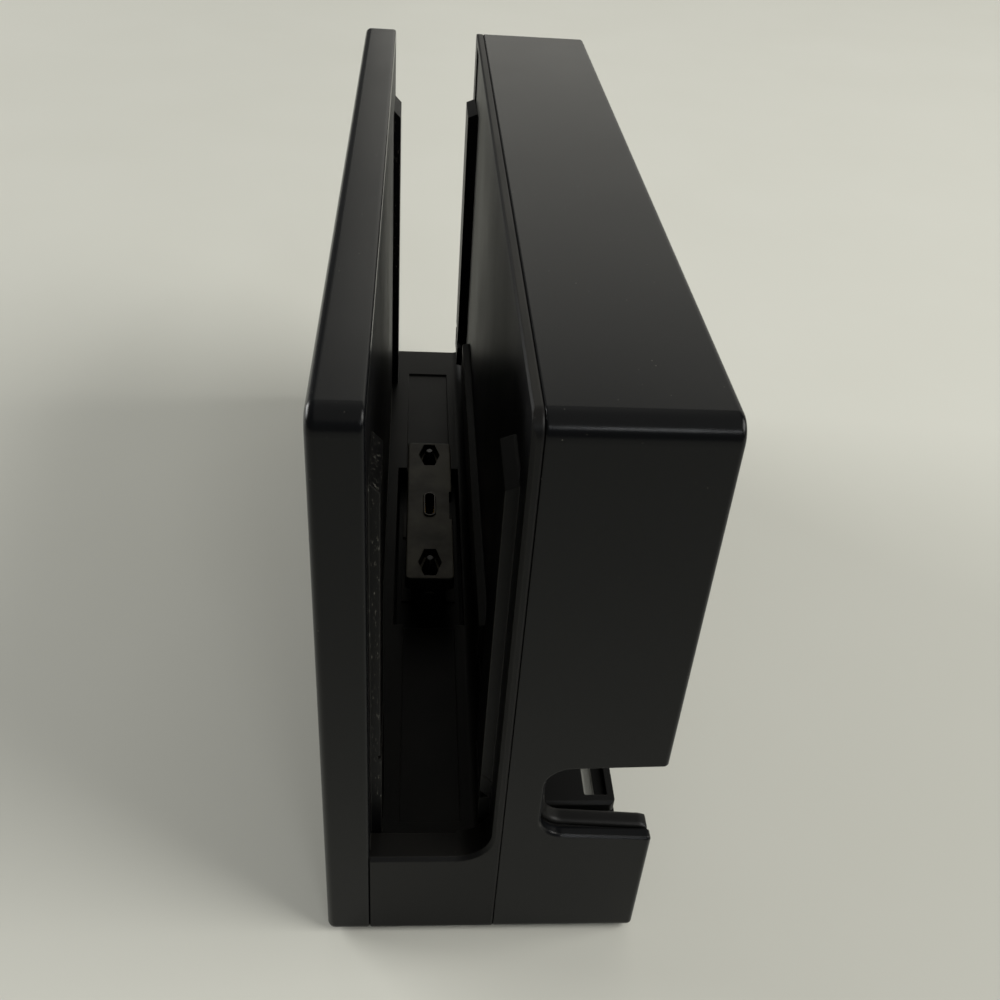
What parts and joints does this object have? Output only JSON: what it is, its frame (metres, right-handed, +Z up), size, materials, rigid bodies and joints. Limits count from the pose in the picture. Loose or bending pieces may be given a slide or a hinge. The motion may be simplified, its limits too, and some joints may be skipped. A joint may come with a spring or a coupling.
{
  "type": "handheld console dock",
  "caption": "Upright dock with an open-ended slot for a handheld console, a sprung plug on the slot floor and an open cable compartment behind.",
  "frame": {"origin": "on the desk under the middle of the dock, level with the undersides of the feet", "axes": "+X along the slot toward the end with the cable notch, +Y from the front panel to the open rear, +Z up"},
  "size_m": [0.173, 0.052, 0.104],
  "materials": {
    "shell_black": "fine spark-eroded texture",
    "cradle_black": "fine spark-eroded texture",
    "inner_black": "plain moulded",
    "carriage_grey": "plain moulded",
    "plug_steel": "drawn",
    "insulator_black": "plain moulded",
    "pin_black": "smooth",
    "bracket_black": "plain moulded",
    "spring_steel": "rolled",
    "screw_black": "black oxide",
    "foot_rubber": "matte",
    "light_pipe": "clear, frosted",
    "board_green": "solder mask",
    "chip_black": "moulded",
    "shield_steel": "tinned",
    "port_steel": "drawn",
    "ribbon_pale": "film"
  },
  "bodies": {
    "dock_body": {"front_panel": "shell_black", "rear_shell": "shell_black", "cradle": "cradle_black", "back_tray": "inner_black", "bottom_cover": "inner_black", "power_port_tongue": "insulator_black", "host_port_tongue": "insulator_black", "video_port_tongue": "insulator_black", "side_port_tongue_lower": "insulator_black", "side_port_tongue_upper": "insulator_black", "carriage_bracket": "bracket_black", "return_springs": "spring_steel", "bracket_screws": "screw_black", "board_screws": "screw_black", "case_screws": "screw_black", "bottom_screws": "screw_black", "foot_front_far": "foot_rubber", "foot_front_near": "foot_rubber", "foot_rear_far": "foot_rubber", "foot_rear_near": "foot_rubber", "status_light_pipe": "light_pipe", "status_light_board": "board_green", "main_board": "board_green", "side_port_board": "board_green", "board_chips": "chip_black", "board_shield_front": "shield_steel", "board_shield_rear": "shield_steel", "power_port_shell": "port_steel", "host_port_shell": "port_steel", "video_port_shell": "port_steel", "side_port_shell_lower": "port_steel", "side_port_shell_upper": "port_steel", "side_port_ribbon": "ribbon_pale"},
    "connector": {"connector_carriage": "carriage_grey", "plug_shell": "plug_steel", "plug_liner": "insulator_black", "guide_pins": "pin_black"}
  },
  "joints": [
    {"name": "connector_rock", "type": "hinge", "parent": "dock_body", "child": "connector", "pos_m": [0, -0.00915, 0.0203], "axis": [1, 0, 0], "range_deg": [-4, 4], "stiffness_Nm_per_rad": 0.2}
  ]
}
